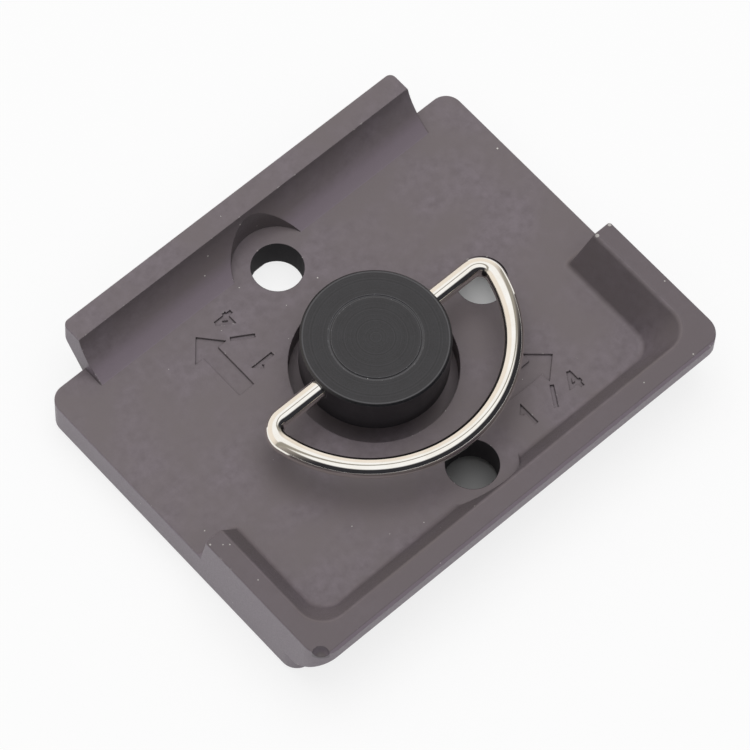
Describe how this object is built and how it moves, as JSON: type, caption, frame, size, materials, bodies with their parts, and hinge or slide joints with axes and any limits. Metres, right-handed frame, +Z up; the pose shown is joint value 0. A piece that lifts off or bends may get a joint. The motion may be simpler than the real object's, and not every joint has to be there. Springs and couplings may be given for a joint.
{
  "type": "tripod quick release plate",
  "caption": "Tripod quick release plate, underside up: a dark cast plate with dovetail lips, guide pin holes and a captive camera screw turned by a folding wire ring.",
  "frame": {"origin": "on the camera screw's axis, at the face of the grip pad that the camera sits on and the plate lies on", "axes": "+Z up, out of the plate's underside; +X along the plate's long side; +Y towards the back rail"},
  "size_m": [0.0524, 0.043, 0.0108],
  "materials": {
    "plate": "matte dark grey",
    "pad": "matte black",
    "washer": "matte black",
    "screw": "satin black, turned",
    "ring": "polished"
  },
  "bodies": {
    "plate": {"plate_body": "plate", "grip_pad": "pad"},
    "washer": {"thrust_washer": "washer"},
    "screw": {"camera_screw": "screw"},
    "ring": {"d_ring": "ring"}
  },
  "joints": [
    {"name": "screw_slide", "type": "slide", "parent": "plate", "child": "washer", "axis": [0, 0, 1], "range_m": [-0.0032, 0]},
    {"name": "screw_turn", "type": "hinge", "parent": "washer", "child": "screw", "pos_m": [0, 0, 0.0093], "axis": [0, 0, 1], "continuous": true},
    {"name": "ring_fold", "type": "hinge", "parent": "screw", "child": "ring", "pos_m": [0, 0, 0.0093], "axis": [-1, 0, 0], "range_deg": [0, 180]}
  ]
}
